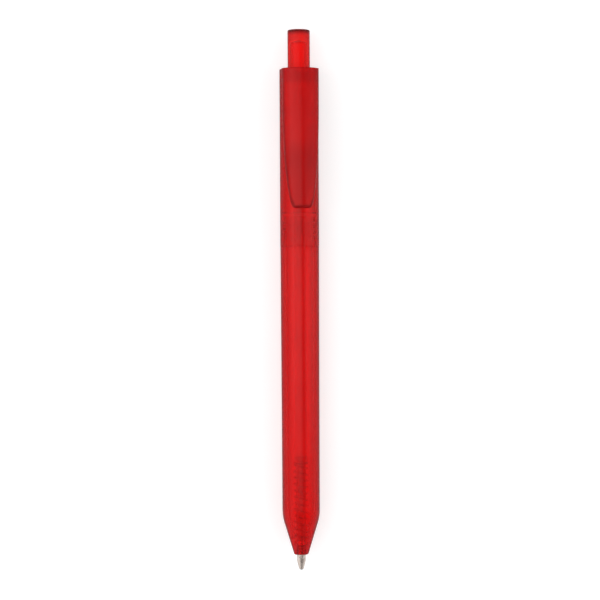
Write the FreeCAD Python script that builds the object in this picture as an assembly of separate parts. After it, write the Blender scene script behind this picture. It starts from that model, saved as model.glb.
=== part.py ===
import FreeCAD, Part
import math
import os

# Retractable ballpoint pen with a moulded barrel, a side clip and a rotating-cam
# click mechanism, drawn with the point out.  Millimetres throughout.
#
# Each piece is drawn about a local axis: local Z runs along the pen from the
# writing point (z = 0) to the push button, and the clip is on local -Y.
# lay_down() turns it so that +Y runs towards the button and +Z is the clip side.
# "Front" is the point end and "rear" the button end.
# Names ending in _R are radii, in _W widths, in _Z places along the local axis.

Vector = FreeCAD.Vector
ORIGIN = Vector(0, 0, 0)
AXIS = Vector(0, 0, 1)

# ---------------------------------------------------------------- sizes
# overall
BUTTON_TOP_Z = 143.1
JOINT_Z = 85.75               # where the two barrel halves meet
TOP_FACE_Z = 132.63           # flat rear face of the upper barrel
NOSE_Z = 4.15                 # open end of the nose cone

# lower barrel
NOSE_R = 1.85
NOSE_EDGE_R = 0.45
SHOULDER_Z = 14.27            # where the cone would meet the body
SHOULDER_R = 4.94
SHOULDER_BLEND = 12.0
LOWER_TOP_R = 5.12            # the body is drafted from the shoulder to the joint
LOWER_TOP_Z = JOINT_Z - 0.02
NOSE_BORE_R = 1.24
NOSE_BORE_TOP_Z = 6.40
NECK_BORE_R = 1.62
NECK_BORE_Z = 6.78
SPRING_SEAT_Z = 8.30
SPRING_POCKET_R = 2.15
SPRING_POCKET_TOP_Z = 10.6
LOWER_BORE_FRONT_R = 3.38
LOWER_BORE_FRONT_Z = 17.2
LOWER_BORE_REAR_R = 3.50
SPIGOT_TOP_Z = 93.6
SPIGOT_ROOT_R = 4.10
SPIGOT_BAND_R = 4.40

# screw thread between the halves
THREAD_PITCH = 1.6
THREAD_TURNS = 3.0
THREAD_START_Z = 88.0
MALE_CREST_R = 4.40
FEMALE_CREST_R = 4.20
FEMALE_TURNS = THREAD_TURNS - 0.3
FEMALE_LEAD = 0.15            # turns by which the female ridge starts later

# upper barrel
UPPER_R = 5.155               # plain band at the joint
BAND_TOP_Z = 95.4
UPPER_TOP_R = 5.145           # slight draft behind the band
UPPER_THREAD_BORE_R = 4.48
UPPER_BORE_R = 4.25
UPPER_THREAD_TOP_Z = 94.4
END_WALL_Z = 128.80           # inner face of the thick end wall
BUTTON_HOLE_R = 3.05

# clip
CLIP_END_Z = 95.7             # free end
CLIP_CURVE_R = 5.60           # outer face is an arc across
CLIP_CURVE_Y = -1.15          # centre of that arc
CLIP_UNDER_R = 5.65           # hollow underside, about the barrel's axis
CLIP_ROOT_Z = 128.9           # front of the root block
CLIP_ROOT_GAP = 0.17          # between the root block and the barrel
CLIP_BLANK_Y = -1.2           # the blank is extruded from here, away from the axis
CLIP_BLANK_DEPTH = 7.5
CLIP_OUTLINE = [              # (z, half width) from the root towards the free end
    (TOP_FACE_Z, 4.88), (126.0, 4.87), (118.2, 4.80), (113.5, 4.65), (109.6, 4.45),
    (106.8, 4.25), (103.9, 3.98), (101.2, 3.67), (99.0, 3.34), (97.4, 3.03)]
CLIP_END_HALF = 1.80          # half width of the flat part of the blunt end
CLIP_CORNER = [               # (z, half width) of the Bezier poles of an end corner
    CLIP_OUTLINE[-1], (CLIP_END_Z + 0.90, 2.84), (CLIP_END_Z, 2.58),
    (CLIP_END_Z, CLIP_END_HALF)]
CLIP_FILLETS = (0.42, 0.35, 0.25, 0.15)   # edge radii to try, largest first
PAD_R = 0.60                  # rounded pad under the free end
PAD_GAP = 0.12                # between the pad and the barrel
PAD_Z = 98.6
PAD_HALF = 1.1                # half the distance between the pad's end spheres

# tab on the clip and the barrel slot around it
TAB_W = 3.2
TAB_DEPTH = 1.75
TAB_HEIGHT = 1.40
TAB_Y = -5.60
TAB_Z = 130.10
TAB_GAP = 0.15

# cam sleeve
SLEEVE_Z0 = 106.2
SLEEVE_Z1 = 118.0
SLEEVE_R = 4.22
SLEEVE_BORE_R = 3.05
SLOT_R = 3.65
SLOT_W = 1.75
SLOT_Z0 = 100.0               # the slot cutter overshoots both ends of the sleeve
SLOT_Z1 = 130.0
STOP_RISE = 1.25
STOP_ANGLES = (28.0, 62.0)    # within each quarter turn

# rotary cam
ROTOR_HUB_R = 2.40
ROTOR_BORE_R = 1.66
ROTOR_STEM_R = 1.85
ROTOR_VENT_R = 0.55
ROTOR_Z0 = 99.0
ROTOR_STEM_TOP_Z = 109.2
RIB_FOOT_R = 1.75
RIB_R = 3.52
RIB_W = 1.35
RIB_Z0 = 101.2
RIB_Z1 = 106.1
RIB_SLOPE = 0.85

# cam plunger
CROWN_Z0 = 106.16
CROWN_R = 2.92
CROWN_BORE_R = 1.98
CROWN_TOP_Z = 112.4
CROWN_TOOTH = 0.90
CROWN_TEETH = 8
KEY_Z0 = 108.2
KEY_Z1 = 111.6
KEY_FOOT_R = 2.5
KEY_R = 3.50
KEY_W = 1.45
STEM_R = 2.20
STEM_BORE_R = 1.20
STEM_TOP_Z = 127.6

# push button
BUTTON_R = 2.955
BUTTON_EDGE_R = 0.38
BUTTON_FLANGE_R = 3.90
FLANGE_Z0 = 119.45
FLANGE_Z1 = 122.80
BUTTON_BORE_R = 2.25
BUTTON_BORE_TOP_Z = 128.2
BUTTON_CORE_R = 1.90          # narrower hollow behind the bore
BUTTON_CORE_TOP_Z = 140.4

# refill
BALL_R = 0.50
BALL_GAP = 0.015
SOCKET_R = 1.15
SOCKET_Z0 = 0.30
SOCKET_CONE_Z = 2.50
SOCKET_SHOULDER_Z = 8.0
SOCKET_SHANK_R = 0.80
SOCKET_END_Z = 12.0
DUCT_R = 0.48
THROAT_R = 0.22               # narrow front length of the duct
THROAT_Z0 = 0.6
ADAPTER_R = 1.30
ADAPTER_Z0 = SOCKET_SHOULDER_Z + 0.05
ADAPTER_BORE_R = 0.50
ADAPTER_BORE_Z = SOCKET_END_Z + 0.1
ADAPTER_PLUG_TOP_Z = 36.0
COLLAR_R = 1.75
COLLAR_Z0 = 28.9
COLLAR_Z1 = 30.2
COLLAR_TOP_Z = COLLAR_Z1 - 0.02
TUBE_R = 1.60
TUBE_BORE_R = 1.15
TUBE_TOP_Z = 103.5
INK_R = 1.13
INK_Z0 = ADAPTER_PLUG_TOP_Z + 0.05
INK_TOP_Z = 88.0
PLUG_Z0 = 99.4
PLUG_VENT_R = 0.30
PLUG_HEAD_R = TUBE_R - 0.02
PLUG_HEAD_Z = TUBE_TOP_Z + 0.02
PLUG_TOP_Z = 104.1
ROTOR_BORE_TOP_Z = PLUG_TOP_Z + 0.05

# return spring
SPRING_WIRE_R = 0.17
SPRING_MEAN_R = 1.78
SPRING_Z0 = 8.50
SPRING_Z1 = 28.70
SPRING_TURNS = 14.0


# ---------------------------------------------------------------- helpers
def lay_down(shape):
    """Turn a piece from its local axis to the pen's frame (Y along, Z clip side)."""
    out = shape.copy()
    out.rotate(ORIGIN, Vector(1, 0, 0), -90)
    return out


def spun(shape, angle):
    """Copy of a shape turned about local Z."""
    out = shape.copy()
    out.rotate(ORIGIN, AXIS, angle)
    return out


def corner_points(before, corner, after, radius):
    """Start, middle and end of the arc that rounds a corner."""
    back = before - corner
    ahead = after - corner
    back.normalize()
    ahead.normalize()
    half_angle = back.getAngle(ahead) / 2.0
    setback = radius / math.tan(half_angle)
    bisector = back + ahead
    bisector.normalize()
    centre = corner + bisector * (radius / math.sin(half_angle))
    toward = corner - centre
    toward.normalize()
    return corner + back * setback, centre + toward * radius, corner + ahead * setback


def profile_wire(points):
    """Closed wire in the local XZ plane from (r, z) or (r, z, corner radius)."""
    corners = [Vector(point[0], 0, point[1]) for point in points]
    count = len(points)
    ends = []
    for i, point in enumerate(points):
        if len(point) > 2:
            following = corners[(i + 1) % count]
            ends.append(corner_points(corners[i - 1], corners[i], following, point[2]))
        else:
            ends.append((corners[i], None, corners[i]))
    edges = []
    for i, (start, middle, stop) in enumerate(ends):
        if middle is not None:
            edges.append(Part.Arc(start, middle, stop).toShape())
        next_start = ends[(i + 1) % count][0]
        if stop.distanceToPoint(next_start) > 1e-7:
            edges.append(Part.LineSegment(stop, next_start).toShape())
    return Part.Wire(edges)


def turned(points):
    """Solid of revolution about local Z; points as for profile_wire."""
    return Part.Face(profile_wire(points)).revolve(ORIGIN, AXIS, 360)


def rod(radius, z0, length):
    """Cylinder on the local axis."""
    return Part.makeCylinder(radius, length, Vector(0, 0, z0))


def centred_block(width, depth, height, y, z):
    """Box centred on x = 0, with its lowest y and z given."""
    return Part.makeBox(width, depth, height, Vector(-width / 2.0, y, z))


def radial_bar(x0, radius, width, z0, z1):
    """Bar along +X from x0 out to a round end at the given radius."""
    bar = Part.makeBox(radius - x0, width, z1 - z0, Vector(x0, -width / 2.0, z0))
    return bar.common(rod(radius, z0 - 1, z1 - z0 + 2))


def radial_prism(section, x0, x1):
    """Polygon of (y, z) points extruded along X from x0 to x1."""
    points = [Vector(x0, y, z) for y, z in section]
    face = Part.Face(Part.makePolygon(points + [points[0]]))
    return face.extrude(Vector(x1 - x0, 0, 0))


def wedge(y_thin, y_thick, z_flat, z_tip, x0, x1):
    """Radial wedge, flat at z_flat and sloping from y_thin to z_tip at y_thick."""
    return radial_prism([(y_thin, z_flat), (y_thick, z_flat), (y_thick, z_tip)], x0, x1)


def helix_sweep(section, pitch, turns, radius, z0):
    """Sweep a closed wire, drawn at z = 0 on the +X side, up a helix from z0."""
    spine = Part.Wire(Part.makeHelix(pitch, pitch * turns, radius).Edges)
    swept = spine.makePipeShell([section], True, True)
    swept.translate(Vector(0, 0, z0))
    return swept


def thread_ridge(wall_r, sink, crest_r, root_half, crest_half, turns, z0):
    """Trapezoid ridge on a wall, its root set into the wall by the offset sink."""
    root_r = wall_r + sink
    corners = [(root_r, -root_half), (crest_r, -crest_half),
               (crest_r, crest_half), (root_r, root_half)]
    points = [Vector(r, 0, z) for r, z in corners]
    section = Part.makePolygon(points + [points[0]])
    return helix_sweep(section, THREAD_PITCH, turns, wall_r, z0)


def one_solid(shape):
    """The single solid in a result, with its faces merged and repaired if invalid."""
    solids = sorted(shape.removeSplitter().Solids, key=lambda solid: -solid.Volume)
    if not solids or (len(solids) > 1 and solids[1].Volume > 1e-4):
        raise RuntimeError("expected one solid, got %d" % len(solids))
    solid = solids[0]
    if not solid.isValid():
        solid.fix(1e-5, 1e-5, 1e-5)
    return solid


# ---------------------------------------------------------------- barrel
def make_lower_barrel():
    """Front half: nose cone, drafted body and threaded spigot."""
    body = turned([
        (NOSE_BORE_R, NOSE_Z, 0.12),
        (NOSE_R, NOSE_Z, NOSE_EDGE_R),
        (SHOULDER_R, SHOULDER_Z, SHOULDER_BLEND),
        (LOWER_TOP_R, LOWER_TOP_Z, 0.10),
        (SPIGOT_BAND_R, LOWER_TOP_Z, 0.08),
        (SPIGOT_BAND_R, JOINT_Z + 1.35, 0.10),
        (SPIGOT_ROOT_R, JOINT_Z + 1.60),
        (SPIGOT_ROOT_R, SPIGOT_TOP_Z, 0.25),
        (LOWER_BORE_REAR_R, SPIGOT_TOP_Z, 0.15),
        (LOWER_BORE_FRONT_R, LOWER_BORE_FRONT_Z, 4.0),
        (3.22, 14.4, 3.0),    # the bore narrows here to the spring pocket
        (SPRING_POCKET_R, SPRING_POCKET_TOP_Z, 1.2),
        (SPRING_POCKET_R, SPRING_SEAT_Z, 0.12),
        (NECK_BORE_R, SPRING_SEAT_Z, 0.10),
        (NECK_BORE_R, NECK_BORE_Z),
        (NOSE_BORE_R, NOSE_BORE_TOP_Z),
    ])
    ridge = thread_ridge(SPIGOT_ROOT_R, sink=-0.10, crest_r=MALE_CREST_R, root_half=0.36,
                         crest_half=0.13, turns=THREAD_TURNS, z0=THREAD_START_Z)
    return one_solid(body.fuse(ridge))


def make_upper_barrel():
    """Rear half: plain tube, thick end wall with the button hole, slot for the tab."""
    body = turned([
        (UPPER_THREAD_BORE_R, JOINT_Z, 0.10),
        (UPPER_R, JOINT_Z, 0.10),
        (UPPER_R, BAND_TOP_Z),
        (UPPER_TOP_R, TOP_FACE_Z, 0.18),
        (BUTTON_HOLE_R, TOP_FACE_Z, 0.15),
        (BUTTON_HOLE_R, END_WALL_Z, 0.15),
        (UPPER_BORE_R, END_WALL_Z, 0.30),
        (UPPER_BORE_R, UPPER_THREAD_TOP_Z + 0.25),
        (UPPER_THREAD_BORE_R, UPPER_THREAD_TOP_Z),
    ])
    body = body.cut(centred_block(TAB_W + 2 * TAB_GAP, TAB_DEPTH, TAB_HEIGHT + 2 * TAB_GAP,
                                  y=TAB_Y + TAB_GAP, z=TAB_Z - TAB_GAP))
    ridge = thread_ridge(UPPER_THREAD_BORE_R, sink=0.12, crest_r=FEMALE_CREST_R,
                         root_half=0.34, crest_half=0.12, turns=FEMALE_TURNS,
                         z0=THREAD_START_Z + FEMALE_LEAD * THREAD_PITCH)
    # the half turn puts the female ridge midway between the male ridges
    return one_solid(body.fuse(spun(ridge, 180.0 + FEMALE_LEAD * 360.0)))


# ---------------------------------------------------------------- clip
def clip_outline_face():
    """Plan of the clip in the local XZ plane."""
    def side(stations, sign):
        return [Vector(sign * half_width, 0, z) for z, half_width in stations]

    def spline(points):
        curve = Part.BSplineCurve()
        curve.interpolate(points)
        return curve.toShape()

    def bezier(poles):
        curve = Part.BezierCurve()
        curve.setPoles(poles)
        return curve.toShape()

    left = side(CLIP_OUTLINE, -1)
    left_corner = side(CLIP_CORNER, -1)
    right_corner = side(reversed(CLIP_CORNER), 1)
    right = side(reversed(CLIP_OUTLINE), 1)
    return Part.Face(Part.Wire([
        spline(left),
        bezier(left_corner),
        Part.LineSegment(left_corner[-1], right_corner[0]).toShape(),
        bezier(right_corner),
        spline(right),
        Part.LineSegment(right[-1], left[0]).toShape()]))


def soften_outer_edges(arm):
    """Round the edges of the outer face, except those at the rear end."""
    picked = []
    for edge in arm.Edges:
        middle = edge.valueAt((edge.FirstParameter + edge.LastParameter) / 2.0)
        from_centre = math.hypot(middle.x, middle.y - CLIP_CURVE_Y)
        on_outer = abs(from_centre - CLIP_CURVE_R) < 1e-3
        if on_outer and middle.z < TOP_FACE_Z - 0.05:
            picked.append(edge)
    for radius in CLIP_FILLETS:
        # a radius too large for the arm raises an error or gives a bad solid
        try:
            soft = arm.makeFillet(radius, picked)
            if soft.isValid() and soft.Volume < arm.Volume:
                return soft
        except Exception:
            continue
    return arm


def make_clip():
    """Tapered tongue, curved across, with a root block, a tab and a pad."""
    face = clip_outline_face()
    face.translate(Vector(0, CLIP_BLANK_Y, 0))
    prism = face.extrude(Vector(0, -CLIP_BLANK_DEPTH, 0))

    length = TOP_FACE_Z - CLIP_END_Z
    outer = Part.makeCylinder(CLIP_CURVE_R, length + 2,
                              Vector(0, CLIP_CURVE_Y, CLIP_END_Z - 1))
    arm = prism.common(outer)
    arm = arm.cut(rod(CLIP_UNDER_R, CLIP_END_Z - 1, CLIP_ROOT_Z - CLIP_END_Z + 1))
    arm = arm.cut(rod(UPPER_R + CLIP_ROOT_GAP, CLIP_END_Z - 2, length + 4))
    arm = soften_outer_edges(one_solid(arm))

    pad_y = -(UPPER_R + PAD_GAP + PAD_R)
    pad_left = Vector(-PAD_HALF, pad_y, PAD_Z)
    pad_right = Vector(PAD_HALF, pad_y, PAD_Z)
    pad = Part.makeCylinder(PAD_R, 2 * PAD_HALF, pad_left, Vector(1, 0, 0))
    pad = pad.fuse([Part.makeSphere(PAD_R, pad_left), Part.makeSphere(PAD_R, pad_right)])
    tab = centred_block(TAB_W, TAB_DEPTH, TAB_HEIGHT, y=TAB_Y, z=TAB_Z)
    return one_solid(arm.fuse([pad, tab]))


# ---------------------------------------------------------------- click mechanism
def make_cam_sleeve():
    """Guide sleeve: four slots inside, and eight sloped cuts in the front end."""
    body = turned([
        (SLEEVE_BORE_R, SLEEVE_Z0),
        (SLEEVE_R, SLEEVE_Z0, 0.10),
        (SLEEVE_R, SLEEVE_Z1, 0.20),
        (SLEEVE_BORE_R, SLEEVE_Z1, 0.20),
    ])
    # each bar crosses the axis and cuts two opposite slots
    slots = radial_bar(-SLOT_R, SLOT_R, SLOT_W, SLOT_Z0, SLOT_Z1)
    for i in range(2):
        body = body.cut(spun(slots, 90 * i))
    stop = wedge(y_thin=-1.05, y_thick=0.98, z_flat=SLEEVE_Z0 - 0.02,
                 z_tip=SLEEVE_Z0 + STOP_RISE, x0=2.4, x1=4.6)
    for i in range(4):
        for angle in STOP_ANGLES:
            body = body.cut(spun(stop, 90 * i + angle))
    return one_solid(body)


def make_rotor_rib():
    """Rib on +X, with a sloped rear end and a chamfered front end."""
    rib = radial_bar(RIB_FOOT_R, RIB_R, RIB_W, RIB_Z0, RIB_Z1)
    half = RIB_W / 2.0 + 0.01
    rib = rib.cut(wedge(y_thin=-half, y_thick=half, z_flat=RIB_Z1,
                        z_tip=RIB_Z1 - RIB_SLOPE, x0=1.0, x1=4.6))
    chamfer = Part.makeCone(RIB_R - 0.45, RIB_R + 0.55, 1.0, Vector(0, 0, RIB_Z0))
    return rib.common(chamfer.fuse(rod(RIB_R + 0.5, RIB_Z0 + 0.99, 10)))


def make_rotary_cam():
    """Rotor: socket for the refill's tail, four sloped ribs, stem at the rear."""
    body = turned([
        (ROTOR_BORE_R, ROTOR_Z0, 0.12),
        (ROTOR_HUB_R, ROTOR_Z0, 0.15),
        (ROTOR_HUB_R, RIB_Z1 - 1.6, 0.20),
        (ROTOR_STEM_R, RIB_Z1 - 1.2),
        (ROTOR_STEM_R, ROTOR_STEM_TOP_Z, 0.35),
        (ROTOR_VENT_R, ROTOR_STEM_TOP_Z, 0.10),
        (ROTOR_VENT_R, ROTOR_BORE_TOP_Z),
        (ROTOR_BORE_R, ROTOR_BORE_TOP_Z),
    ])
    rib = make_rotor_rib()
    body = body.fuse([spun(rib, 90 * i) for i in range(4)])
    # keep the socket clear of the ribs
    body = body.cut(rod(ROTOR_BORE_R, ROTOR_Z0 - 1.0, ROTOR_BORE_TOP_Z - ROTOR_Z0 + 1.0))
    return one_solid(body)


def make_cam_plunger():
    """Plunger: toothed crown at the front, four guide keys and a stem."""
    body = turned([
        (CROWN_BORE_R, CROWN_Z0),
        (CROWN_R, CROWN_Z0),
        (CROWN_R, CROWN_TOP_Z, 0.25),
        (STEM_R, CROWN_TOP_Z),
        (STEM_R, STEM_TOP_Z, 0.35),
        (STEM_BORE_R, STEM_TOP_Z, 0.10),
        (STEM_BORE_R, 111.0),     # cone between the two bores
        (CROWN_BORE_R, 110.4),
    ])
    key = radial_bar(KEY_FOOT_R, KEY_R, KEY_W, KEY_Z0, KEY_Z1)
    body = body.fuse([spun(key, 90 * i) for i in range(4)])
    half = CROWN_R * math.tan(math.pi / CROWN_TEETH)
    base_z = CROWN_Z0 - 0.01
    notch = radial_prism([(-half, base_z), (half, base_z), (0, CROWN_Z0 + CROWN_TOOTH)],
                         x0=1.2, x1=3.6)
    for i in range(CROWN_TEETH):
        body = body.cut(spun(notch, 360.0 / CROWN_TEETH * i))
    return one_solid(body)


def make_push_button():
    """Hollow button with a retaining flange inside the end wall."""
    return one_solid(turned([
        (0.0, BUTTON_CORE_TOP_Z),
        (0.0, BUTTON_TOP_Z),
        (BUTTON_R, BUTTON_TOP_Z, BUTTON_EDGE_R),
        (BUTTON_R, FLANGE_Z1, 0.25),
        (BUTTON_FLANGE_R, FLANGE_Z1, 0.20),
        (BUTTON_FLANGE_R, FLANGE_Z0, 0.20),
        (BUTTON_BORE_R, FLANGE_Z0, 0.20),
        (BUTTON_BORE_R, BUTTON_BORE_TOP_Z, 0.10),
        (BUTTON_CORE_R, BUTTON_BORE_TOP_Z + 0.40),
        (BUTTON_CORE_R, BUTTON_CORE_TOP_Z - 0.7, 0.60),
    ]))


# ---------------------------------------------------------------- refill
def make_writing_ball():
    return Part.makeSphere(BALL_R, Vector(0, 0, BALL_R))


def make_point_socket():
    """Metal point: cone, plain land, shank, ball seat and ink duct."""
    body = turned([
        (0.0, SOCKET_Z0),
        (0.52, SOCKET_Z0),
        (SOCKET_R, SOCKET_CONE_Z, 0.60),
        (SOCKET_R, SOCKET_SHOULDER_Z, 0.08),
        (SOCKET_SHANK_R, SOCKET_SHOULDER_Z),
        (SOCKET_SHANK_R, SOCKET_END_Z, 0.12),
        (DUCT_R, SOCKET_END_Z),
        (DUCT_R, 3.2),            # cone down to the throat
        (THROAT_R, 2.4),
        (THROAT_R, THROAT_Z0),
        (0.0, THROAT_Z0),
    ])
    seat = Part.makeSphere(BALL_R + BALL_GAP, Vector(0, 0, BALL_R))
    return one_solid(body.cut(seat))


def make_tip_adapter():
    """Neck that carries the metal point, with the spring collar and tube plug."""
    return one_solid(turned([
        (SOCKET_SHANK_R, ADAPTER_Z0, 0.05),
        (1.16, ADAPTER_Z0, 0.05),
        (ADAPTER_R, ADAPTER_Z0 + 0.9),
        (ADAPTER_R, COLLAR_Z0, 0.12),
        (COLLAR_R, COLLAR_Z0, 0.10),
        (COLLAR_R, COLLAR_TOP_Z, 0.12),
        (TUBE_BORE_R, COLLAR_TOP_Z),
        (TUBE_BORE_R, ADAPTER_PLUG_TOP_Z - 0.8),
        (0.95, ADAPTER_PLUG_TOP_Z),
        (ADAPTER_BORE_R, ADAPTER_PLUG_TOP_Z),
        (ADAPTER_BORE_R, ADAPTER_BORE_Z),
        (SOCKET_SHANK_R, ADAPTER_BORE_Z),
    ]))


def make_refill_tube():
    return one_solid(turned([
        (TUBE_BORE_R, COLLAR_Z1),
        (TUBE_R, COLLAR_Z1, 0.08),
        (TUBE_R, TUBE_TOP_Z, 0.08),
        (TUBE_BORE_R, TUBE_TOP_Z),
    ]))


def make_refill_ink():
    """Ink column with a hollowed rear end."""
    return one_solid(turned([
        (0.0, INK_Z0),
        (INK_R, INK_Z0),
        (INK_R, INK_TOP_Z, 0.30),
        (0.0, INK_TOP_Z - 0.35),
    ]))


def make_refill_plug():
    """Vented plug that closes the tube's tail and sits in the rotor's socket."""
    return one_solid(turned([
        (PLUG_VENT_R, PLUG_Z0),
        (1.02, PLUG_Z0),
        (TUBE_BORE_R, PLUG_Z0 + 0.6),
        (TUBE_BORE_R, PLUG_HEAD_Z),
        (PLUG_HEAD_R, PLUG_HEAD_Z, 0.05),
        (PLUG_HEAD_R, PLUG_TOP_Z, 0.12),
        (PLUG_VENT_R, PLUG_TOP_Z),
    ]))


def make_return_spring():
    pitch = (SPRING_Z1 - SPRING_Z0 - 2 * SPRING_WIRE_R) / SPRING_TURNS
    slope = math.atan2(pitch, 2 * math.pi * SPRING_MEAN_R)
    # the wire's section faces along the start of the helix
    circle = Part.Circle(Vector(SPRING_MEAN_R, 0, 0),
                         Vector(0, math.cos(slope), math.sin(slope)), SPRING_WIRE_R)
    section = Part.Wire([circle.toShape()])
    return one_solid(helix_sweep(section, pitch, SPRING_TURNS, SPRING_MEAN_R,
                                 z0=SPRING_Z0 + SPRING_WIRE_R))


# ---------------------------------------------------------------- write the parts
PIECES = {
    "lower_barrel": make_lower_barrel,
    "upper_barrel": make_upper_barrel,
    "clip": make_clip,
    "push_button": make_push_button,
    "cam_plunger": make_cam_plunger,
    "rotary_cam": make_rotary_cam,
    "cam_sleeve": make_cam_sleeve,
    "return_spring": make_return_spring,
    "refill_tube": make_refill_tube,
    "refill_ink": make_refill_ink,
    "refill_plug": make_refill_plug,
    "tip_adapter": make_tip_adapter,
    "point_socket": make_point_socket,
    "writing_ball": make_writing_ball,
}

os.makedirs("parts", exist_ok=True)
for name, make in PIECES.items():
    lay_down(make()).exportStep("parts/%s.step" % name)
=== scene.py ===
"""A click ball pen in translucent red plastic.

The pen's axis is Y: the writing point is at y = 0 and the push button at the far end. The clip is
on the +Z side, and the pen lies on a floor below it in Z. Pieces are laid out in millimetres;
materials, stage and camera are in metres.
"""

import math

import bmesh
import bpy
import numpy as np
from mathutils import Matrix, Vector


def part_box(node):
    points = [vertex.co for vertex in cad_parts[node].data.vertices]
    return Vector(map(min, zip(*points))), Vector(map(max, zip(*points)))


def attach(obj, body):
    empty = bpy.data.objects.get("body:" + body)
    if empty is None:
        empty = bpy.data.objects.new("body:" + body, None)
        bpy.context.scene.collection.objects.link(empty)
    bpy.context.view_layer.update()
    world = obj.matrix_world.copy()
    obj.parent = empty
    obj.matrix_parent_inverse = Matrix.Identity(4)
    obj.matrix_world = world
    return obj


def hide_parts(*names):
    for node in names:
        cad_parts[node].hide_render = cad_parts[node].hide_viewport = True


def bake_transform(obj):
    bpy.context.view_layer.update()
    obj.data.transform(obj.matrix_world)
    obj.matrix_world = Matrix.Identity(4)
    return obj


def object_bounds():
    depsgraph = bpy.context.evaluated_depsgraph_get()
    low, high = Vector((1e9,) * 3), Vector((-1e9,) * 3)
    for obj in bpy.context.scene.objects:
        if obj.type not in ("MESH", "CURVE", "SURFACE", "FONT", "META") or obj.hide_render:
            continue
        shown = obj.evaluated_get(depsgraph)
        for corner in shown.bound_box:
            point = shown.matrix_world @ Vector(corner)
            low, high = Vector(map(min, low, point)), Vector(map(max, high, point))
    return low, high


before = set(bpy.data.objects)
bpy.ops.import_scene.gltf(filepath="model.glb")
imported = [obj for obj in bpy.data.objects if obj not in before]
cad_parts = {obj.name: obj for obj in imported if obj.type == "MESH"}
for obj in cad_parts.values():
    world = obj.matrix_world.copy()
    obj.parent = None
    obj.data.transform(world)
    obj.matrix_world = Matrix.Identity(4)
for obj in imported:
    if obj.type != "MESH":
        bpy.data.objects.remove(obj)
CAD_BOX = [list(v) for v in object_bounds()]

MM = 0.001
scene = bpy.context.scene

# Sizes that several pieces or materials share, in mm
NOSE_Y, NOSE_RADIUS = 4.15, 1.85  # narrow end of the front barrel
THREAD_PITCH = 1.6
BALL_Y = 0.5
TAB_HALF, TAB_START, TAB_END, TAB_LOW = 1.6, 130.1, 131.5, 3.85  # half x, y range and lowest z
TAB_GAP = 0.15  # clearance round the clip's tab in its pocket


def low_y(node):
    return (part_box(node)[0] / MM)[1]


def high_y(node):
    return (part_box(node)[1] / MM)[1]


# ------------------------------------------------------------------ mesh helpers
def add_object(name, data):
    obj = bpy.data.objects.new(name, data)
    scene.collection.objects.link(obj)
    return obj


def new_mesh(name, verts, faces, sharp_deg=32.0):
    """Mesh object from millimetre vertices, smooth-shaded with sharp edges marked."""
    mesh = bpy.data.meshes.new(name)
    mesh.from_pydata([tuple(c * MM for c in v) for v in verts], [], faces)
    mesh.validate()
    bm = bmesh.new()
    bm.from_mesh(mesh)
    bmesh.ops.remove_doubles(bm, verts=bm.verts, dist=1e-8)
    bmesh.ops.recalc_face_normals(bm, faces=bm.faces)
    limit = math.radians(sharp_deg)
    for face in bm.faces:
        face.smooth = True
    for edge in bm.edges:
        if len(edge.link_faces) == 2:
            edge.smooth = edge.calc_face_angle(0.0) < limit
    bm.to_mesh(mesh)
    bm.free()
    return add_object(name, mesh)


def smoothstep(t):
    t = min(1.0, max(0.0, t))
    return t * t * (3 - 2 * t)


def fillet(corners, steps_per_quarter=8, longest_step=0.30):
    """Turns a closed profile of (r, y[, fillet radius]) corners into points, arcs included."""
    corners = [(*corner, 0.0)[:3] for corner in corners]
    points = []
    for i, (r, y, size) in enumerate(corners):
        corner = Vector((r, y))
        if size <= 0:
            points.append(tuple(corner))
            continue
        to_before = (Vector(corners[i - 1][:2]) - corner).normalized()
        to_after = (Vector(corners[(i + 1) % len(corners)][:2]) - corner).normalized()
        half = to_before.angle(to_after) / 2
        reach = size / math.tan(half)
        centre = corner + (to_before + to_after).normalized() * (size / math.sin(half))
        start = corner + to_before * reach - centre
        end = corner + to_after * reach - centre
        turn = start.angle(end)
        count = max(2, int(math.ceil(steps_per_quarter * turn / (math.pi / 2))) + 1,
                    int(size * turn / longest_step))
        for k in range(count + 1):
            t = k / count
            spoke = (start * math.sin((1 - t) * turn) + end * math.sin(t * turn)) / math.sin(turn)
            points.append(tuple(centre + spoke))
    return points


def densify(points, longest):
    """Adds points on long straight runs, so that long walls aren't slivers."""
    dense = []
    for i, point in enumerate(points):
        start, end = Vector(point), Vector(points[(i + 1) % len(points)])
        parts = int((end - start).length // longest) + 1
        dense += [tuple(start.lerp(end, k / parts)) for k in range(parts)]
    return dense


def lathe(name, corners, segments, longest=2.0, shape=None):
    """Closed profile turned about the pen's axis. shape(r, y, angle) may move a point's radius."""
    verts, faces, rings = [], [], []
    for r, y in densify(fillet(corners), longest):
        if r < 1e-6:
            rings.append([len(verts)] * segments)
            verts.append((0.0, y, 0.0))
            continue
        rings.append(list(range(len(verts), len(verts) + segments)))
        for k in range(segments):
            angle = 2 * math.pi * k / segments
            moved = shape(r, y, angle) if shape else r
            verts.append((moved * math.cos(angle), y, moved * math.sin(angle)))
    for i, ring in enumerate(rings):
        following = rings[(i + 1) % len(rings)]
        if ring[0] == ring[1] and following[0] == following[1]:
            continue
        for k in range(segments):
            j = (k + 1) % segments
            # a ring on the axis is a single vertex, so its faces are triangles
            faces.append(list(dict.fromkeys([ring[k], ring[j], following[j], following[k]])))
    return new_mesh(name, verts, faces)


def thread_wall(r, y_from, y_to, step=0.09):
    """Closely spaced profile points on a straight wall, for a thread to be shaped on."""
    count = int(abs(y_to - y_from) / step)
    return [(r, y_from + (y_to - y_from) * k / count) for k in range(count + 1)]


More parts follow.
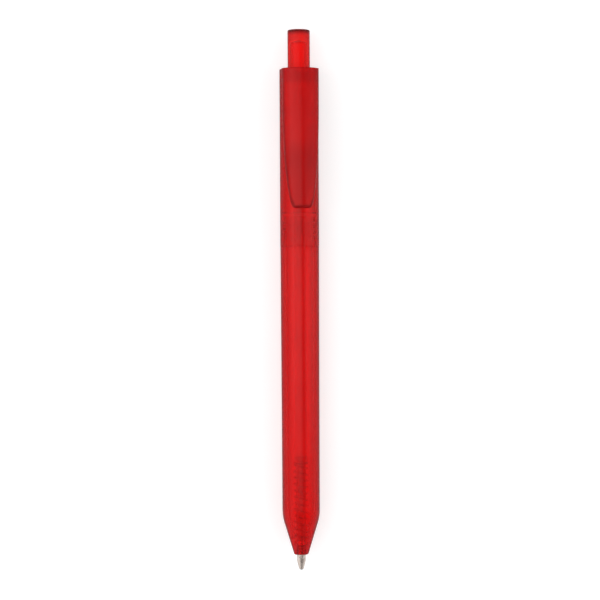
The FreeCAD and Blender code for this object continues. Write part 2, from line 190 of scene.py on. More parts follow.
def thread(wall, direction, start_y, start_turn, turns, root_half, crest_half, height):
    """Shape for lathe(): a helical ridge on the wall of that radius, fading out at both ends.

    direction is +1 for a ridge that grows away from the axis, -1 for one towards it."""
    def shape(r, y, angle):
        if abs(r - wall) > 0.02:
            return r
        turn = (-angle / (2 * math.pi) - start_turn) % 1.0
        best = 0.0
        while turn <= turns:
            off = abs(y - (start_y + THREAD_PITCH * turn))
            if off < root_half:
                rise = min(1.0, (root_half - off) / (root_half - crest_half)) * height
                ends = smoothstep(turn / 0.16), smoothstep((turns - turn) / 0.16)
                best = max(best, rise * ends[0] * ends[1])
            turn += 1.0
        return r + direction * best

    return shape


def hand_over(obj, node, material):
    """Gives a finished piece its material and puts it in place of a CAD node."""
    obj.data.materials.append(material)
    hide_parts(node)
    return obj


# ------------------------------------------------------------------ node helpers
class Graph:
    """Builds nodes in a tree. Arguments may be numbers, colours or sockets."""

    def __init__(self, tree, space):
        self.tree = tree
        self.coords = self.node("ShaderNodeTexCoord").outputs[space]

    def node(self, kind, **props):
        node = self.tree.nodes.new(kind)
        for key, value in props.items():
            setattr(node, key, value)
        return node

    def put(self, socket, value):
        if isinstance(value, bpy.types.NodeSocket):
            self.tree.links.new(value, socket)
        else:
            socket.default_value = value

    def fill(self, node, values):
        for key, value in values.items():
            self.put(node.inputs[key], value)
        return node

    def stretched(self, across, along):
        """Coordinates with one scale across the pen and another along it."""
        scale = (across, along, across)
        node = self.node("ShaderNodeMapping")
        return self.fill(node, {"Scale": scale, "Vector": self.coords}).outputs["Vector"]

    def axes(self):
        return self.fill(self.node("ShaderNodeSeparateXYZ"), {0: self.coords}).outputs

    def calc(self, operation, *values):
        node = self.node("ShaderNodeMath", operation=operation)
        return self.fill(node, dict(enumerate(values))).outputs[0]

    def noise(self, vector, scale, detail, rough, distortion=0.0):
        return self.fill(self.node("ShaderNodeTexNoise"), {
            "Scale": scale, "Detail": detail, "Roughness": rough, "Distortion": distortion,
            "Vector": vector}).outputs["Fac"]

    def remap(self, value, source, target=(0.0, 1.0), smooth=False):
        node = self.node("ShaderNodeMapRange")
        if smooth:
            node.interpolation_type = "SMOOTHSTEP"
        return self.fill(node, {
            "Value": value, "From Min": source[0], "From Max": source[1],
            "To Min": target[0], "To Max": target[1]}).outputs["Result"]

    def mix_colour(self, factor, a, b):
        node = self.node("ShaderNodeMix", data_type="RGBA")
        return self.fill(node, {"Factor": factor, 6: a, 7: b}).outputs[2]

    def mix_value(self, factor, a, b):
        node = self.node("ShaderNodeMix", data_type="FLOAT")
        return self.fill(node, {"Factor": factor, 2: a, 3: b}).outputs[0]

    def mottle(self, pattern, edges, deep, light):
        """Soft patches of two colours."""
        return self.mix_colour(self.remap(pattern, edges, smooth=True), deep, light)

    def bump(self, height, strength, distance, under=None):
        values = {"Strength": strength, "Distance": distance, "Height": height}
        if under is not None:
            values["Normal"] = under
        return self.fill(self.node("ShaderNodeBump"), values).outputs["Normal"]

    def surface(self, values):
        shader = self.fill(self.node("ShaderNodeBsdfPrincipled"), values)
        self.fill(self.node("ShaderNodeOutputMaterial"), {"Surface": shader.outputs[0]})


def start_material(name):
    material = bpy.data.materials.new(name)
    material.use_nodes = True
    material.node_tree.nodes.clear()
    return material, Graph(material.node_tree, "Object")


def rgb(red, green, blue):
    return (red, green, blue, 1.0)


# ------------------------------------------------------------------ materials
CORE_RED = rgb(0.99, 0.020, 0.016)
THICK_RED = rgb(0.15, 0.003, 0.007)
# painted shade: dark outline round the clip, for its rounded edge and the shadow under it
RIM_SHADE_RED = rgb(0.42, 0.002, 0.003)
CRIMSON = rgb(0.36, 0.006, 0.014)
CLEAR = rgb(1.0, 0.30, 0.26)
# painted shade: darkens the top of the clip's free half
CLIP_SHADE = rgb(0.60, 0.004, 0.005)
BUTTON_END = rgb(0.10, 0.003, 0.006)


def nose_limit(g, y, body_radius):
    """Outside radius in mm: a cone from the nose, until it meets the body."""
    y = g.calc("MULTIPLY", y, 1000.0)
    slope = 0.3053
    cone = g.calc("ADD", g.calc("MULTIPLY", g.calc("SUBTRACT", y, NOSE_Y), slope), NOSE_RADIUS)
    return g.calc("MINIMUM", cone, body_radius)


def frosted(name, deep, light, outer_radius, core_rough, transmission, zones, edge_dark=0.85,
            nose=False, rim_shade=0.0):
    """Translucent frosted moulding: satin grained outside, smoother core side, faint flow lines.

    Each zone tints a stretch along the pen: y in mm where it starts, is full, is still full and
    ends, then its amount on the core side and on the outside, and its tint.
    The edge amount darkens the piece's outline where its edge-mark attribute is near 1: painted
    shade, partly the dark of a rounded edge and partly the shadow in the gap under it."""
    material, g = start_material(name)
    axes = g.axes()
    x_squared = g.calc("MULTIPLY", axes[0], axes[0])
    z_squared = g.calc("MULTIPLY", axes[2], axes[2])
    radius = g.calc("MULTIPLY", g.calc("SQRT", g.calc("ADD", x_squared, z_squared)), 1000.0)
    limit = nose_limit(g, axes[1], outer_radius) if nose else outer_radius
    outside = g.remap(g.calc("SUBTRACT", radius, limit), (-0.48, -0.30))

    # flow lines and clouds in the plastic
    flow = g.noise(g.stretched(across=420, along=28), scale=1.0, detail=4.0, rough=0.6,
                   distortion=0.3)
    cloud = g.noise(g.stretched(across=70, along=45), scale=1.0, detail=2.0, rough=0.5)
    tone = g.calc("ADD", g.calc("MULTIPLY", flow, 0.55), g.calc("MULTIPLY", cloud, 0.45))
    colour = g.mottle(tone, (0.34, 0.66), deep, light)

    # seen on edge the wall is thicker, so it lets less light through
    facing = g.fill(g.node("ShaderNodeLayerWeight"), {"Blend": 0.5}).outputs["Facing"]
    thick = g.calc("MINIMUM", g.remap(facing, (0.06, 0.90), (0.0, edge_dark)), 0.74)
    thick = g.calc("MULTIPLY", thick, g.mix_value(outside, 0.55, 1.0))
    colour = g.mix_colour(outside, CORE_RED, colour)
    colour = g.mix_colour(thick, colour, THICK_RED)

    along = g.calc("MULTIPLY", axes[1], 1000.0)
    for start, full, still_full, end, inner_amount, outer_amount, tint in zones:
        mask = g.calc("MULTIPLY", g.remap(along, (start, full), smooth=True),
                      g.remap(along, (still_full, end), (1.0, 0.0), smooth=True))
        amount = g.calc("MULTIPLY", mask, g.mix_value(outside, inner_amount, outer_amount))
        colour = g.mix_colour(amount, colour, tint)
    # painted shade along the outline, where the edge mark is high
    if rim_shade:
        mark = g.node("ShaderNodeAttribute", attribute_name="rim_shade")
        colour = g.mix_colour(g.calc("MULTIPLY", mark.outputs["Fac"], rim_shade), colour, RIM_SHADE_RED)

    # two sizes of surface grain, and roughness rubbed along the pen
    fine = g.noise(g.coords, scale=9000.0, detail=2.0, rough=0.6)
    coarse = g.noise(g.coords, scale=3600.0, detail=3.0, rough=0.6)
    rub = g.noise(g.stretched(across=900, along=60), scale=1.0, detail=5.0, rough=0.7)
    outer_rough = g.calc("ADD", 0.22, g.calc("MULTIPLY", rub, 0.03))
    normal = g.bump(fine, strength=0.30, distance=4e-6)
    normal = g.bump(coarse, strength=0.25, distance=8e-6, under=normal)
    g.surface({
        "Base Color": colour,
        "Roughness": g.mix_value(outside, core_rough, outer_rough),
        "Transmission Weight": g.mix_value(outside, 0.96, transmission),
        "IOR": g.remap(facing, (0.0, 0.85), (1.27, 1.07)),
        "Normal": normal,
        "Specular IOR Level": 0.22,
    })
    return material


def plastic(name, deep, light, rough, sss=0.25, sss_radius=(1.0, 0.9, 0.8)):
    """Opaque moulding, slightly cloudy, with light scattering under the surface."""
    material, g = start_material(name)
    cloud = g.noise(g.stretched(across=160, along=90), scale=1.0, detail=3.0, rough=0.55)
    fine = g.noise(g.coords, scale=5200.0, detail=2.0, rough=0.6)
    rub = g.noise(g.stretched(across=700, along=120), scale=1.0, detail=4.0, rough=0.65)
    g.surface({
        "Base Color": g.mottle(cloud, (0.35, 0.65), deep, light),
        "Roughness": g.calc("ADD", rough - 0.06, g.calc("MULTIPLY", rub, 0.12)),
        "Subsurface Weight": sss,
        "Subsurface Radius": sss_radius,
        "Subsurface Scale": 0.0012,
        "Normal": g.bump(fine, strength=0.25, distance=5e-6),
    })
    return material


def metal(name, deep, light, rough, ring_pitch=None):
    """Metal with a few dull patches; ring_pitch (m) adds fine lathe rings round the axis."""
    material, g = start_material(name)
    patch = g.noise(g.coords, scale=900.0, detail=4.0, rough=0.6)
    height = g.noise(g.stretched(across=600, along=16000), scale=1.0, detail=3.0, rough=0.7)
    if ring_pitch:
        wave = g.calc("SINE", g.calc("MULTIPLY", g.axes()[1], 2 * math.pi / ring_pitch))
        height = g.calc("ADD", g.calc("MULTIPLY", wave, 0.5), height)
    unevenness = g.calc("MULTIPLY", g.calc("SUBTRACT", patch, 0.5), 0.25)
    g.surface({
        "Base Color": g.mottle(patch, (0.35, 0.65), deep, light),
        "Metallic": 1.0,
        "Roughness": g.calc("ADD", rough, unevenness),
        "Normal": g.bump(height, strength=0.35, distance=3e-6),
    })
    return material


def ink(name):
    material, g = start_material(name)
    streaks = g.noise(g.stretched(across=500, along=80), scale=1.0, detail=3.0, rough=0.6)
    g.surface({
        "Base Color": g.mix_colour(streaks, rgb(0.006, 0.006, 0.010), rgb(0.022, 0.020, 0.030)),
        "Roughness": 0.12,
        "Normal": g.bump(streaks, strength=0.2, distance=1e-5),
    })
    return material


FRONT_RED = frosted(
    "frosted_barrel", rgb(0.90, 0.008, 0.007), rgb(0.97, 0.013, 0.011),
    outer_radius=5.0, core_rough=0.19, transmission=0.80, edge_dark=1.08, nose=True,
    zones=((3.9, 4.0, 5.2, 8.6, 0.45, 0.42, CRIMSON),
           (85.6, 85.9, 94.0, 94.2, 0.88, 0.0, CLEAR)))
REAR_RED = frosted(
    "frosted_barrel_rear", rgb(0.88, 0.008, 0.008), rgb(0.95, 0.013, 0.012),
    outer_radius=5.0, core_rough=0.21, transmission=0.80, edge_dark=1.0,
    zones=((128.3, 129.0, 133.0, 133.2, 0.30, 0.26, CRIMSON),
           (85.0, 85.2, 94.3, 94.7, 0.88, 0.0, CLEAR)))
CLIP_RED = frosted(
    "frosted_clip", rgb(0.90, 0.007, 0.008), rgb(0.98, 0.011, 0.010),
    # the clip's outline gets painted shade
    outer_radius=0.0, core_rough=0.235, transmission=0.64, rim_shade=0.90,
    # painted shade on the top of the clip's free half, y 94 to 115
    zones=((94.0, 95.0, 109.0, 115.0, 0.0, 0.50, CLIP_SHADE),
           (128.2, 129.4, 133.0, 133.2, 0.0, 0.22, CRIMSON)))
BUTTON_RED = frosted(
    "frosted_button", rgb(0.93, 0.014, 0.009), rgb(0.98, 0.022, 0.014),
    outer_radius=2.8, core_rough=0.20, transmission=0.82,
    zones=((139.8, 140.6, 143.4, 143.6, 0.40, 0.30, CRIMSON),
           (141.9, 142.6, 143.4, 143.6, 0.75, 0.75, BUTTON_END)))
SLEEVE_RED = plastic("acetal_red", rgb(0.50, 0.020, 0.020), rgb(0.62, 0.035, 0.030),
                     rough=0.36, sss=0.3, sss_radius=(1.0, 0.2, 0.15))
NATURAL = plastic("acetal_natural", rgb(0.66, 0.62, 0.57), rgb(0.78, 0.75, 0.70), rough=0.34)
ADAPTER = plastic("adapter_natural", rgb(0.60, 0.57, 0.52), rgb(0.74, 0.70, 0.65), rough=0.36)
MILKY = plastic("tube_milky", rgb(0.82, 0.81, 0.78), rgb(0.90, 0.89, 0.86), rough=0.30, sss=0.4)
NICKEL = metal("nickel_silver", rgb(0.42, 0.35, 0.31), rgb(0.58, 0.50, 0.45), rough=0.26,
               ring_pitch=0.00009)
STEEL = metal("spring_wire", rgb(0.48, 0.48, 0.50), rgb(0.64, 0.64, 0.66), rough=0.30)
CARBIDE = metal("carbide", rgb(0.36, 0.36, 0.38), rgb(0.46, 0.46, 0.48), rough=0.12)
INK = ink("ink_black")

NODE_MATERIALS = {
    "lower_barrel": FRONT_RED, "upper_barrel": REAR_RED, "clip": CLIP_RED,
    "push_button": BUTTON_RED, "cam_plunger": NATURAL, "rotary_cam": NATURAL,
    "cam_sleeve": SLEEVE_RED, "return_spring": STEEL, "refill_tube": MILKY, "refill_ink": INK,
    "refill_plug": ADAPTER, "tip_adapter": ADAPTER, "point_socket": NICKEL,
    "writing_ball": CARBIDE,
}
for node_name, node_material in NODE_MATERIALS.items():
    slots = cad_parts[node_name].data.materials
    slots.clear()
    slots.append(node_material)


# ------------------------------------------------------------------ clip
CLIP_START, CLIP_END = low_y("clip"), high_y("clip")
CLIP_HALF = 4.88  # half width at the root end
SHOULDER_Y = 97.4  # where the blunt end's curve meets the tapering arm
SHOULDER_HALF = 3.03
TOP_RADIUS, TOP_CENTRE = 5.60, 1.15  # upper side's arc, and the z of its centre
UNDER_RADIUS, ROOT_RADIUS = 5.65, 5.325  # underside's arc along the arm and under the root
ROOT_Y, ROOT_STEP = 128.9, 0.22  # where the root block is full, and the length of its step
EDGE, UNDER_EDGE, END_EDGE = 0.68, 0.14, 0.20  # edge roundings: top, underside, root end
PAD_Y, PAD_RADIUS, PAD_HALF, PAD_LOW = 98.6, 0.60, 1.10, 5.275  # rounded bar under the free end
PAD_BLEND = 0.10

# (y, half width) along the arm
CLIP_WIDTHS = [
    (SHOULDER_Y, SHOULDER_HALF), (99.0, 3.34), (101.2, 3.67), (103.9, 3.98), (106.8, 4.25),
    (109.6, 4.45), (113.5, 4.65), (118.2, 4.80), (126.0, 4.87), (CLIP_END, CLIP_HALF)]
# (half width, y) control points of the blunt end's Bezier curve, and where it is sampled
BLUNT_POLES = [(1.80, CLIP_START), (2.58, CLIP_START), (2.84, CLIP_START + 0.90),
               (SHOULDER_HALF, SHOULDER_Y)]
BLUNT_STEPS = (0, 0.06, 0.11, 0.16, 0.21, 0.26, 0.31, 0.36, 0.42, 0.48, 0.55, 0.63, 0.72, 0.81,
               0.9, 1.0)
# y of the rows along the arm: close together at the pad, the root's step, the tab and the end
ARM_ROWS = (
    [97.6, 97.8] + [97.9 + 0.1 * k for k in range(15)] + [99.6 + 0.45 * k for k in range(1, 64)]
    + [128.62, 128.72, 128.80, 128.86, 128.92, 129.0, 129.3, 129.7, TAB_START, 130.45, 130.8,
       131.15, TAB_END, 131.9, 132.2]
    + [CLIP_END - back for back in (END_EDGE, 0.12, 0.06, 0.02, 0.0)])
# distances of the outer columns from the side
EDGE_COLUMNS = [0.0, 0.02, 0.07, 0.14, 0.24, 0.36, 0.50, EDGE]


def arm_half_width(y):
    """Smooth cubic curve through the arm's widths."""
    last = len(CLIP_WIDTHS) - 1
    i = next(k for k in range(last) if y <= CLIP_WIDTHS[k + 1][0] + 1e-9)
    (y_a, half_a), (y_b, half_b) = CLIP_WIDTHS[i:i + 2]
    before = CLIP_WIDTHS[max(i - 1, 0)]
    after = CLIP_WIDTHS[min(i + 2, last)]
    slope_a = (half_b - before[1]) / (y_b - before[0])
    slope_b = (after[1] - half_a) / (after[0] - y_a)
    span = y_b - y_a
    t = (y - y_a) / span
    return ((2 * t**3 - 3 * t**2 + 1) * half_a + (t**3 - 2 * t**2 + t) * span * slope_a
            + (-2 * t**3 + 3 * t**2) * half_b + (t**3 - t**2) * span * slope_b)


def clip_rows():
    """Rows across the tongue as (y, half width): the blunt end first, then the arm."""
    rows = []
    for t in BLUNT_STEPS:
        weights = ((1 - t) ** 3, 3 * t * (1 - t) ** 2, 3 * t * t * (1 - t), t**3)
        half, y = (sum(w * pole[axis] for w, pole in zip(weights, BLUNT_POLES))
                   for axis in (0, 1))
        rows.append((y, half))
    return rows + [(y, arm_half_width(y)) for y in ARM_ROWS]


def middle_columns():
    """Columns between the rounded edges, from -1 to 1, two of them moved to the tab's sides."""
    columns = list(np.linspace(-1, 1, 35)[1:-1])
    for side in (-1, 1):
        tab_side = side * TAB_HALF / (CLIP_HALF - EDGE)
        nearest = int(np.argmin([abs(c - tab_side) for c in columns]))
        columns[nearest] = tab_side
    return columns


CLIP_ROWS = clip_rows()
MIDDLE_COLUMNS = middle_columns()
CLIP_OUTLINE = np.array([(0.0, CLIP_START)] + [(half, y) for y, half in CLIP_ROWS])


def edge_distance(x, y):
    """Distance to the tongue's outline, not counting the root end."""
    point = np.array((abs(x), y))
    start = CLIP_OUTLINE[:-1]
    run = CLIP_OUTLINE[1:] - start
    t = np.clip(((point - start) * run).sum(1) / np.maximum((run * run).sum(1), 1e-12), 0, 1)
    nearest = start + run * t[:, None]
    return float(np.sqrt(((point - nearest) ** 2).sum(1)).min())


def rounding(radius, distance):
    """How far a rounded edge falls away at a distance from the side."""
    if distance >= radius:
        return 0.0
    return radius - math.sqrt(max(0.0, radius * radius - (radius - distance) ** 2))


def clip_top(x, y, from_edge):
    drop = max(rounding(EDGE, from_edge), rounding(END_EDGE, CLIP_END - y))
    return TOP_CENTRE + math.sqrt(TOP_RADIUS * TOP_RADIUS - x * x) - drop


def clip_under(x, y, from_edge):
    root = smoothstep((y - (ROOT_Y - ROOT_STEP)) / ROOT_STEP)
    radius = UNDER_RADIUS + (ROOT_RADIUS - UNDER_RADIUS) * root
    z = math.sqrt(radius * radius - x * x)
    from_pad = math.hypot(max(abs(x) - PAD_HALF, 0.0), y - PAD_Y)
    if from_pad < PAD_RADIUS:
        pad = PAD_LOW + PAD_RADIUS - math.sqrt(PAD_RADIUS * PAD_RADIUS - from_pad * from_pad)
        blend = max(PAD_BLEND - abs(z - pad), 0.0) / PAD_BLEND
        z = min(z, pad) - blend * blend * PAD_BLEND * 0.25
    return z + rounding(UNDER_EDGE, from_edge)


def add_tab(verts, faces, under, cells):
    """The plug-in tab: the given cells of the underside drawn down towards the axis."""
    centre_y = (TAB_START + TAB_END) / 2
    low = {}

    def tab_vertex(i, j):
        if (i, j) not in low:
            x, y, _ = verts[under[i][j]]
            low[(i, j)] = len(verts)
            # slightly narrower at the bottom
            verts.append((x * 0.97, centre_y + (y - centre_y) * 0.95, TAB_LOW))
        return low[(i, j)]

    for i, j in sorted(cells):
        near, far = (i, j), (i + 1, j + 1)
        next_row, next_column = (i + 1, j), (i, j + 1)
        faces.append([tab_vertex(*corner) for corner in (near, next_row, far, next_column)])
        for neighbour, a, b in (((i - 1, j), near, next_column), ((i + 1, j), next_row, far),
                                ((i, j - 1), near, next_row), ((i, j + 1), next_column, far)):
            if neighbour not in cells:
                faces.append([under[a[0]][a[1]], under[b[0]][b[1]],
                              tab_vertex(*b), tab_vertex(*a)])


def mark_rim_shade(mesh):
    """Stores how near each vertex is to the outline, for painted shade along it; the mark is wider
    at the free end, where the clip stands off the barrel.
    """
    values = []
    for vertex in mesh.vertices:
        x, y = vertex.co.x * 1000, vertex.co.y * 1000
        reach = 0.55 + 0.65 * smoothstep((99.5 - y) / 3.0)
        values.append(1.0 - smoothstep((edge_distance(x, y) / reach - 0.35) / 0.65))
    mesh.attributes.new("rim_shade", "FLOAT", "POINT").data.foreach_set("value", values)


def make_clip():
    """The tongue as one closed moulding: rounded edge, hollow underside, pad and tab."""
    verts, faces, top, under = [], [], [], []
    for y, half in CLIP_ROWS:
        columns = [-(half - inset) for inset in EDGE_COLUMNS]
        columns += [c * (half - EDGE) for c in MIDDLE_COLUMNS]
        columns += [half - inset for inset in reversed(EDGE_COLUMNS)]
        points = [(x, y, edge_distance(x, y)) for x in columns]
        for grid, height in ((top, clip_top), (under, clip_under)):
            grid.append(list(range(len(verts), len(verts) + len(points))))
            verts += [(*point[:2], height(*point)) for point in points]

    last_row, last_column = len(top) - 1, len(top[0]) - 1
    tab_cells = set()
    for i in range(last_row):
        y = (CLIP_ROWS[i][0] + CLIP_ROWS[i + 1][0]) / 2
        for j in range(last_column):
            faces.append([top[i][j], top[i][j + 1], top[i + 1][j + 1], top[i + 1][j]])
            x = (verts[under[i][j]][0] + verts[under[i][j + 1]][0]) / 2
            if TAB_START < y < TAB_END and abs(x) < TAB_HALF:
                tab_cells.add((i, j))
            else:
                faces.append([under[i][j], under[i + 1][j],
                              under[i + 1][j + 1], under[i][j + 1]])
    for i in range(last_row):
        for j in (0, last_column):
            faces.append([top[i][j], top[i + 1][j], under[i + 1][j], under[i][j]])
    for i in (0, last_row):
        for j in range(last_column):
            faces.append([top[i][j], top[i][j + 1], under[i][j + 1], under[i][j]])
    add_tab(verts, faces, under, tab_cells)

    clip = new_mesh("clip_tongue", verts, faces, sharp_deg=40.0)
    # edge mark for the painted shade along the clip's outline
    mark_rim_shade(clip.data)
    hand_over(clip, "clip", CLIP_RED)
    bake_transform(clip)


# ------------------------------------------------------------------ spring
SPRING_START, SPRING_END = 8.50, 28.70
WIRE_RADIUS, COIL_RADIUS = 0.17, 1.78
TURNS, CLOSED_TURNS, EASE_TURNS = 14.0, 1.15, 0.35  # closed and easing turns are at each end
CLOSED_PITCH = 2 * WIRE_RADIUS + 0.012


def coil_lift(turn):
    """Height of the wire above its start; the pitch eases between closed and open coils."""
    total = SPRING_END - SPRING_START - 2 * WIRE_RADIUS
    open_lift = total - 2 * CLOSED_TURNS * CLOSED_PITCH
    open_turns = TURNS - 2 * CLOSED_TURNS
    pitch = (open_lift - CLOSED_PITCH * EASE_TURNS) / (open_turns - EASE_TURNS)

    def eased(t):
        return CLOSED_PITCH * t + (pitch - CLOSED_PITCH) * t * t / (2 * EASE_TURNS)

    if turn < CLOSED_TURNS:
        return CLOSED_PITCH * turn
    if turn > TURNS - CLOSED_TURNS:
        return total - CLOSED_PITCH * (TURNS - turn)
    base = CLOSED_PITCH * CLOSED_TURNS
    t = turn - CLOSED_TURNS
    if t < EASE_TURNS:
        return base + eased(t)
    if t > open_turns - EASE_TURNS:
        return base + open_lift - eased(open_turns - t)
    return base + (CLOSED_PITCH + pitch) / 2 * EASE_TURNS + pitch * (t - EASE_TURNS)


def make_spring():
    """Drawn wire wound to a compression spring, with the end coils closed."""
    steps_per_turn, sides = 40, 12
    last = int(TURNS * steps_per_turn)
    path = []
    for k in range(last + 1):
        turn = TURNS * k / last
        angle = 2 * math.pi * turn
        path.append(Vector((COIL_RADIUS * math.cos(angle),
                            SPRING_START + WIRE_RADIUS + coil_lift(turn),
                            COIL_RADIUS * math.sin(angle))))
    verts, faces = [], []
    for k, point in enumerate(path):
        ahead = (path[min(k + 1, last)] - path[max(k - 1, 0)]).normalized()
        outward = Vector((point.x, 0, point.z)).normalized()
        side = ahead.cross(outward).normalized()
        outward = side.cross(ahead).normalized()
        shrink = 0.86 if k in (0, last) else 1.0
        for j in range(sides):
            angle = 2 * math.pi * j / sides
            spoke = outward * math.cos(angle) + side * math.sin(angle)
            verts.append(tuple(point + spoke * WIRE_RADIUS * shrink))
    for k in range(last):
        here, ahead = k * sides, (k + 1) * sides
        for j in range(sides):
            q = (j + 1) % sides
            faces.append([here + j, here + q, ahead + q, ahead + j])
    faces.append(list(range(sides)))
    faces.append([last * sides + j for j in range(sides)])
    spring = new_mesh("spring_coils", verts, faces, sharp_deg=50.0)
    hand_over(spring, "return_spring", STEEL)
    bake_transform(spring)


# ------------------------------------------------------------------ mouldings and turned parts
# Profiles are closed lists of (r, y[, fillet radius]) corners.
def make_front_barrel():
    """Nose cone, body and threaded neck, with a stepped bore."""
    top = high_y("lower_barrel")
    neck = 4.10
    joint_y = 85.73
    profile = [
        (1.24, NOSE_Y, 0.12), (NOSE_RADIUS, NOSE_Y, 0.45), (4.94, 14.27, 12.0),
        (5.12, joint_y, 0.10), (4.40, joint_y, 0.08), (4.40, 87.10, 0.10), (neck, 87.35),
        *thread_wall(neck, 87.60, 93.10),
        (neck, top, 0.25), (3.50, top, 0.15), (3.38, 17.2, 4.0), (3.22, 14.4, 3.0),
        (2.15, 10.6, 1.2), (2.15, 8.30, 0.12), (1.62, 8.30, 0.10), (1.62, 6.78), (1.24, 6.40)]
    ridge = thread(neck, direction=1, start_y=88.0, start_turn=0.0, turns=3.0,
                   root_half=0.36, crest_half=0.13, height=0.30)
    barrel = lathe("front_barrel", profile, 144, shape=ridge)
    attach(hand_over(barrel, "lower_barrel", FRONT_RED), "barrel")


def cut_tab_pocket(barrel):
    """Cuts the pocket for the clip's tab into the end wall."""
    half = TAB_HALF + TAB_GAP
    start, end = TAB_START - TAB_GAP, TAB_END + TAB_GAP
    corners = [(x, y, z) for z in (TAB_LOW - TAB_GAP, 6.2)
               for x, y in ((-half, start), (half, start), (half, end), (-half, end))]
    tool = new_mesh("pocket_tool", corners, [(0, 3, 2, 1), (4, 5, 6, 7), (0, 1, 5, 4),
                                             (1, 2, 6, 5), (2, 3, 7, 6), (3, 0, 4, 7)])
    cut = barrel.modifiers.new("pocket", "BOOLEAN")
    cut.operation = "DIFFERENCE"
    cut.solver = "EXACT"
    cut.object = tool
    bpy.context.view_layer.update()
    evaluated = barrel.evaluated_get(bpy.context.evaluated_depsgraph_get())
    carved = bpy.data.meshes.new_from_object(evaluated)
    barrel.modifiers.clear()
    barrel.data = carved
    bpy.data.objects.remove(tool, do_unlink=True)
    barrel.data.materials.clear()


def make_rear_barrel():
    """Sleeve with an inside thread and an end wall round the button."""
    top = high_y("upper_barrel")
    socket = 4.48
    profile = [
        (socket, 85.75, 0.10), (5.155, 85.75, 0.10), (5.155, 95.4), (5.145, top, 0.18),
        (3.05, top, 0.15), (3.05, 128.80, 0.15), (4.25, 128.80, 0.30), (4.25, 94.65),
        *thread_wall(socket, 94.40, 87.30)]
    ridge = thread(socket, direction=-1, start_y=88.24, start_turn=0.65, turns=2.7,
                   root_half=0.34, crest_half=0.12, height=0.28)
    barrel = lathe("rear_barrel", profile, 144, shape=ridge)
    cut_tab_pocket(barrel)
    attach(hand_over(barrel, "upper_barrel", REAR_RED), "barrel")


def make_button():
    """Hollow button, closed at the outer end, with a wide collar at the inner end."""
    top = high_y("push_button")
    profile = [
        (0.0, 140.4), (0.0, top), (1.5, top), (2.955, top - 0.03, 0.38), (2.955, 122.80, 0.25),
        (3.90, 122.80, 0.20), (3.90, 119.45, 0.20), (2.25, 119.45, 0.20), (2.25, 128.20, 0.10),
        (1.90, 128.60), (1.90, 139.70, 0.60)]
    button = lathe("click_button", profile, 112)
    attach(hand_over(button, "push_button", BUTTON_RED), "plunger")


def make_point():
    """Turned point: lip over the ball, cone, land, shoulder and shank, with the ball's seat."""
    seat = 0.515
    channel = 0.22
    lip_drop = 0.20
    lip_y = BALL_Y - lip_drop
    profile = [
        (math.sqrt(seat**2 - lip_drop**2), lip_y), (0.53, lip_y), (0.60, 0.52), (0.66, 0.56),
        (1.15, 2.50, 0.60), (1.15, 8.00, 0.08), (0.80, 8.00), (0.80, 12.0, 0.12), (0.48, 12.0),
        (0.48, 3.20), (channel, 2.40)]
    # the seat's arc, from the ink channel to the lip
    first = math.asin(channel / seat)
    last = math.pi - math.acos(lip_drop / seat)
    for k in range(10):
        angle = first + (last - first) * k / 10
        profile.append((seat * math.sin(angle), BALL_Y + seat * math.cos(angle)))
    point = lathe("metal_point", profile, 96, longest=1.0)
    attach(hand_over(point, "point_socket", NICKEL), "refill")


make_clip()
make_spring()
make_front_barrel()
make_rear_barrel()
make_button()
make_point()


# ------------------------------------------------------------------ stage
MIDDLE = Vector([(a + b) / 2 for a, b in zip(*CAD_BOX)])


def make_floor():
    """A large, faintly glowing white sheet just below the pen."""
    z = CAD_BOX[0][2] - 0.00002
    middle_y = (CAD_BOX[0][1] + CAD_BOX[1][1]) / 2
    half = 3.0
    near, far = middle_y - half, middle_y + half
    mesh = bpy.data.meshes.new("floor")
    mesh.from_pydata([(-half, near, z), (half, near, z), (half, far, z), (-half, far, z)],
                     [], [(0, 1, 2, 3)])
    floor = add_object("floor", mesh)
    material, g = start_material("paper_white")
    cloud = g.noise(g.coords, scale=60.0, detail=3.0, rough=0.5)
    g.surface({
        "Base Color": g.mix_colour(cloud, rgb(0.70, 0.71, 0.71), rgb(0.73, 0.74, 0.74)),
        "Roughness": 0.9,
        "Specular IOR Level": 0.1,
        "Emission Color": rgb(1, 1, 1),
        "Emission Strength": 0.48,
    })
    mesh.materials.append(material)


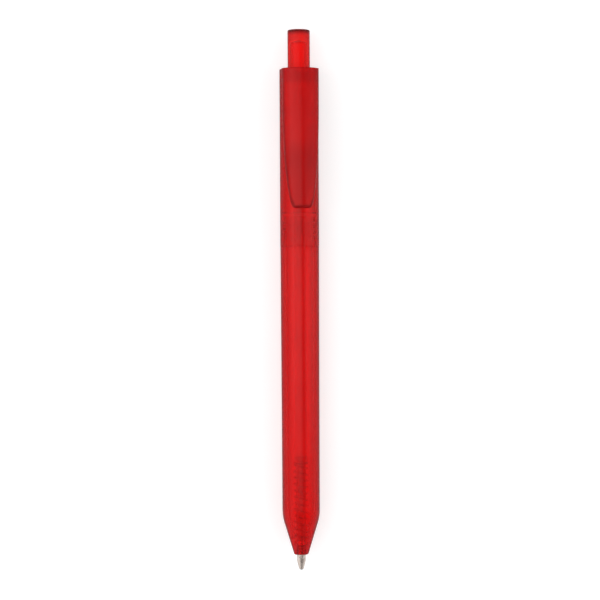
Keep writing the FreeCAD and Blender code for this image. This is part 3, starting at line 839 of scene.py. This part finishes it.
def area_light(name, offset, width, length, power):
    """Rectangular light at an offset from the pen's middle, aimed at it."""
    light = bpy.data.lights.new(name, "AREA")
    light.energy = power
    light.shape = "RECTANGLE"
    light.size = width
    light.size_y = length
    lamp = add_object(name, light)
    location = MIDDLE + Vector(offset)
    lamp.location = location
    lamp.rotation_mode = "QUATERNION"
    lamp.rotation_quaternion = (MIDDLE - location).to_track_quat("-Z", "Y")


def make_world():
    """White surroundings, dimmer overhead and towards +X."""
    world = bpy.data.worlds.new("studio")
    scene.world = world
    world.use_nodes = True
    g = Graph(world.node_tree, "Generated")
    axes = g.axes()
    by_height = g.remap(axes[2], (0.30, 0.92), (1.30, 0.33), smooth=True)
    by_side = g.remap(axes[0], (-1.0, 1.0), (1.12, 0.72))
    g.fill(world.node_tree.nodes["Background"],
           {0: rgb(1, 1, 1), 1: g.calc("MULTIPLY", by_height, by_side)})


def make_camera():
    """Long lens above the pen, turned a little about its axis towards -X."""
    lens, sensor = 135, 36
    pen_share = 0.90  # pen's length as a share of the frame
    roll = math.radians(7.5)  # about the pen's axis
    tilt = math.radians(0.31)  # in the picture plane
    data = bpy.data.cameras.new("camera")
    data.lens = lens
    data.sensor_width = sensor
    data.clip_start = 0.01
    data.clip_end = 20
    camera = add_object("camera", data)
    scene.camera = camera
    distance = (CAD_BOX[1][1] - CAD_BOX[0][1]) / pen_share / sensor * lens
    back = Vector((-math.sin(roll), 0, math.cos(roll)))
    camera.location = Vector((0.0, MIDDLE.y, 0.0)) + back * distance
    pen_axis = Vector((0, 1, 0))
    across = pen_axis.cross(back).normalized()
    up = (pen_axis * math.cos(tilt) + across * math.sin(tilt)).normalized()
    right = up.cross(back).normalized()
    camera.rotation_mode = "QUATERNION"
    camera.rotation_quaternion = Matrix((right, up, back)).transposed().to_quaternion()


make_floor()
area_light("key", offset=(-0.27, 0.02, 0.48), width=0.20, length=0.70, power=0.9)
area_light("fill", offset=(0.44, 0.0, 0.34), width=0.16, length=0.70, power=0.6)
make_world()
scene.view_settings.view_transform = "Standard"
scene.view_settings.look = "None"
make_camera()
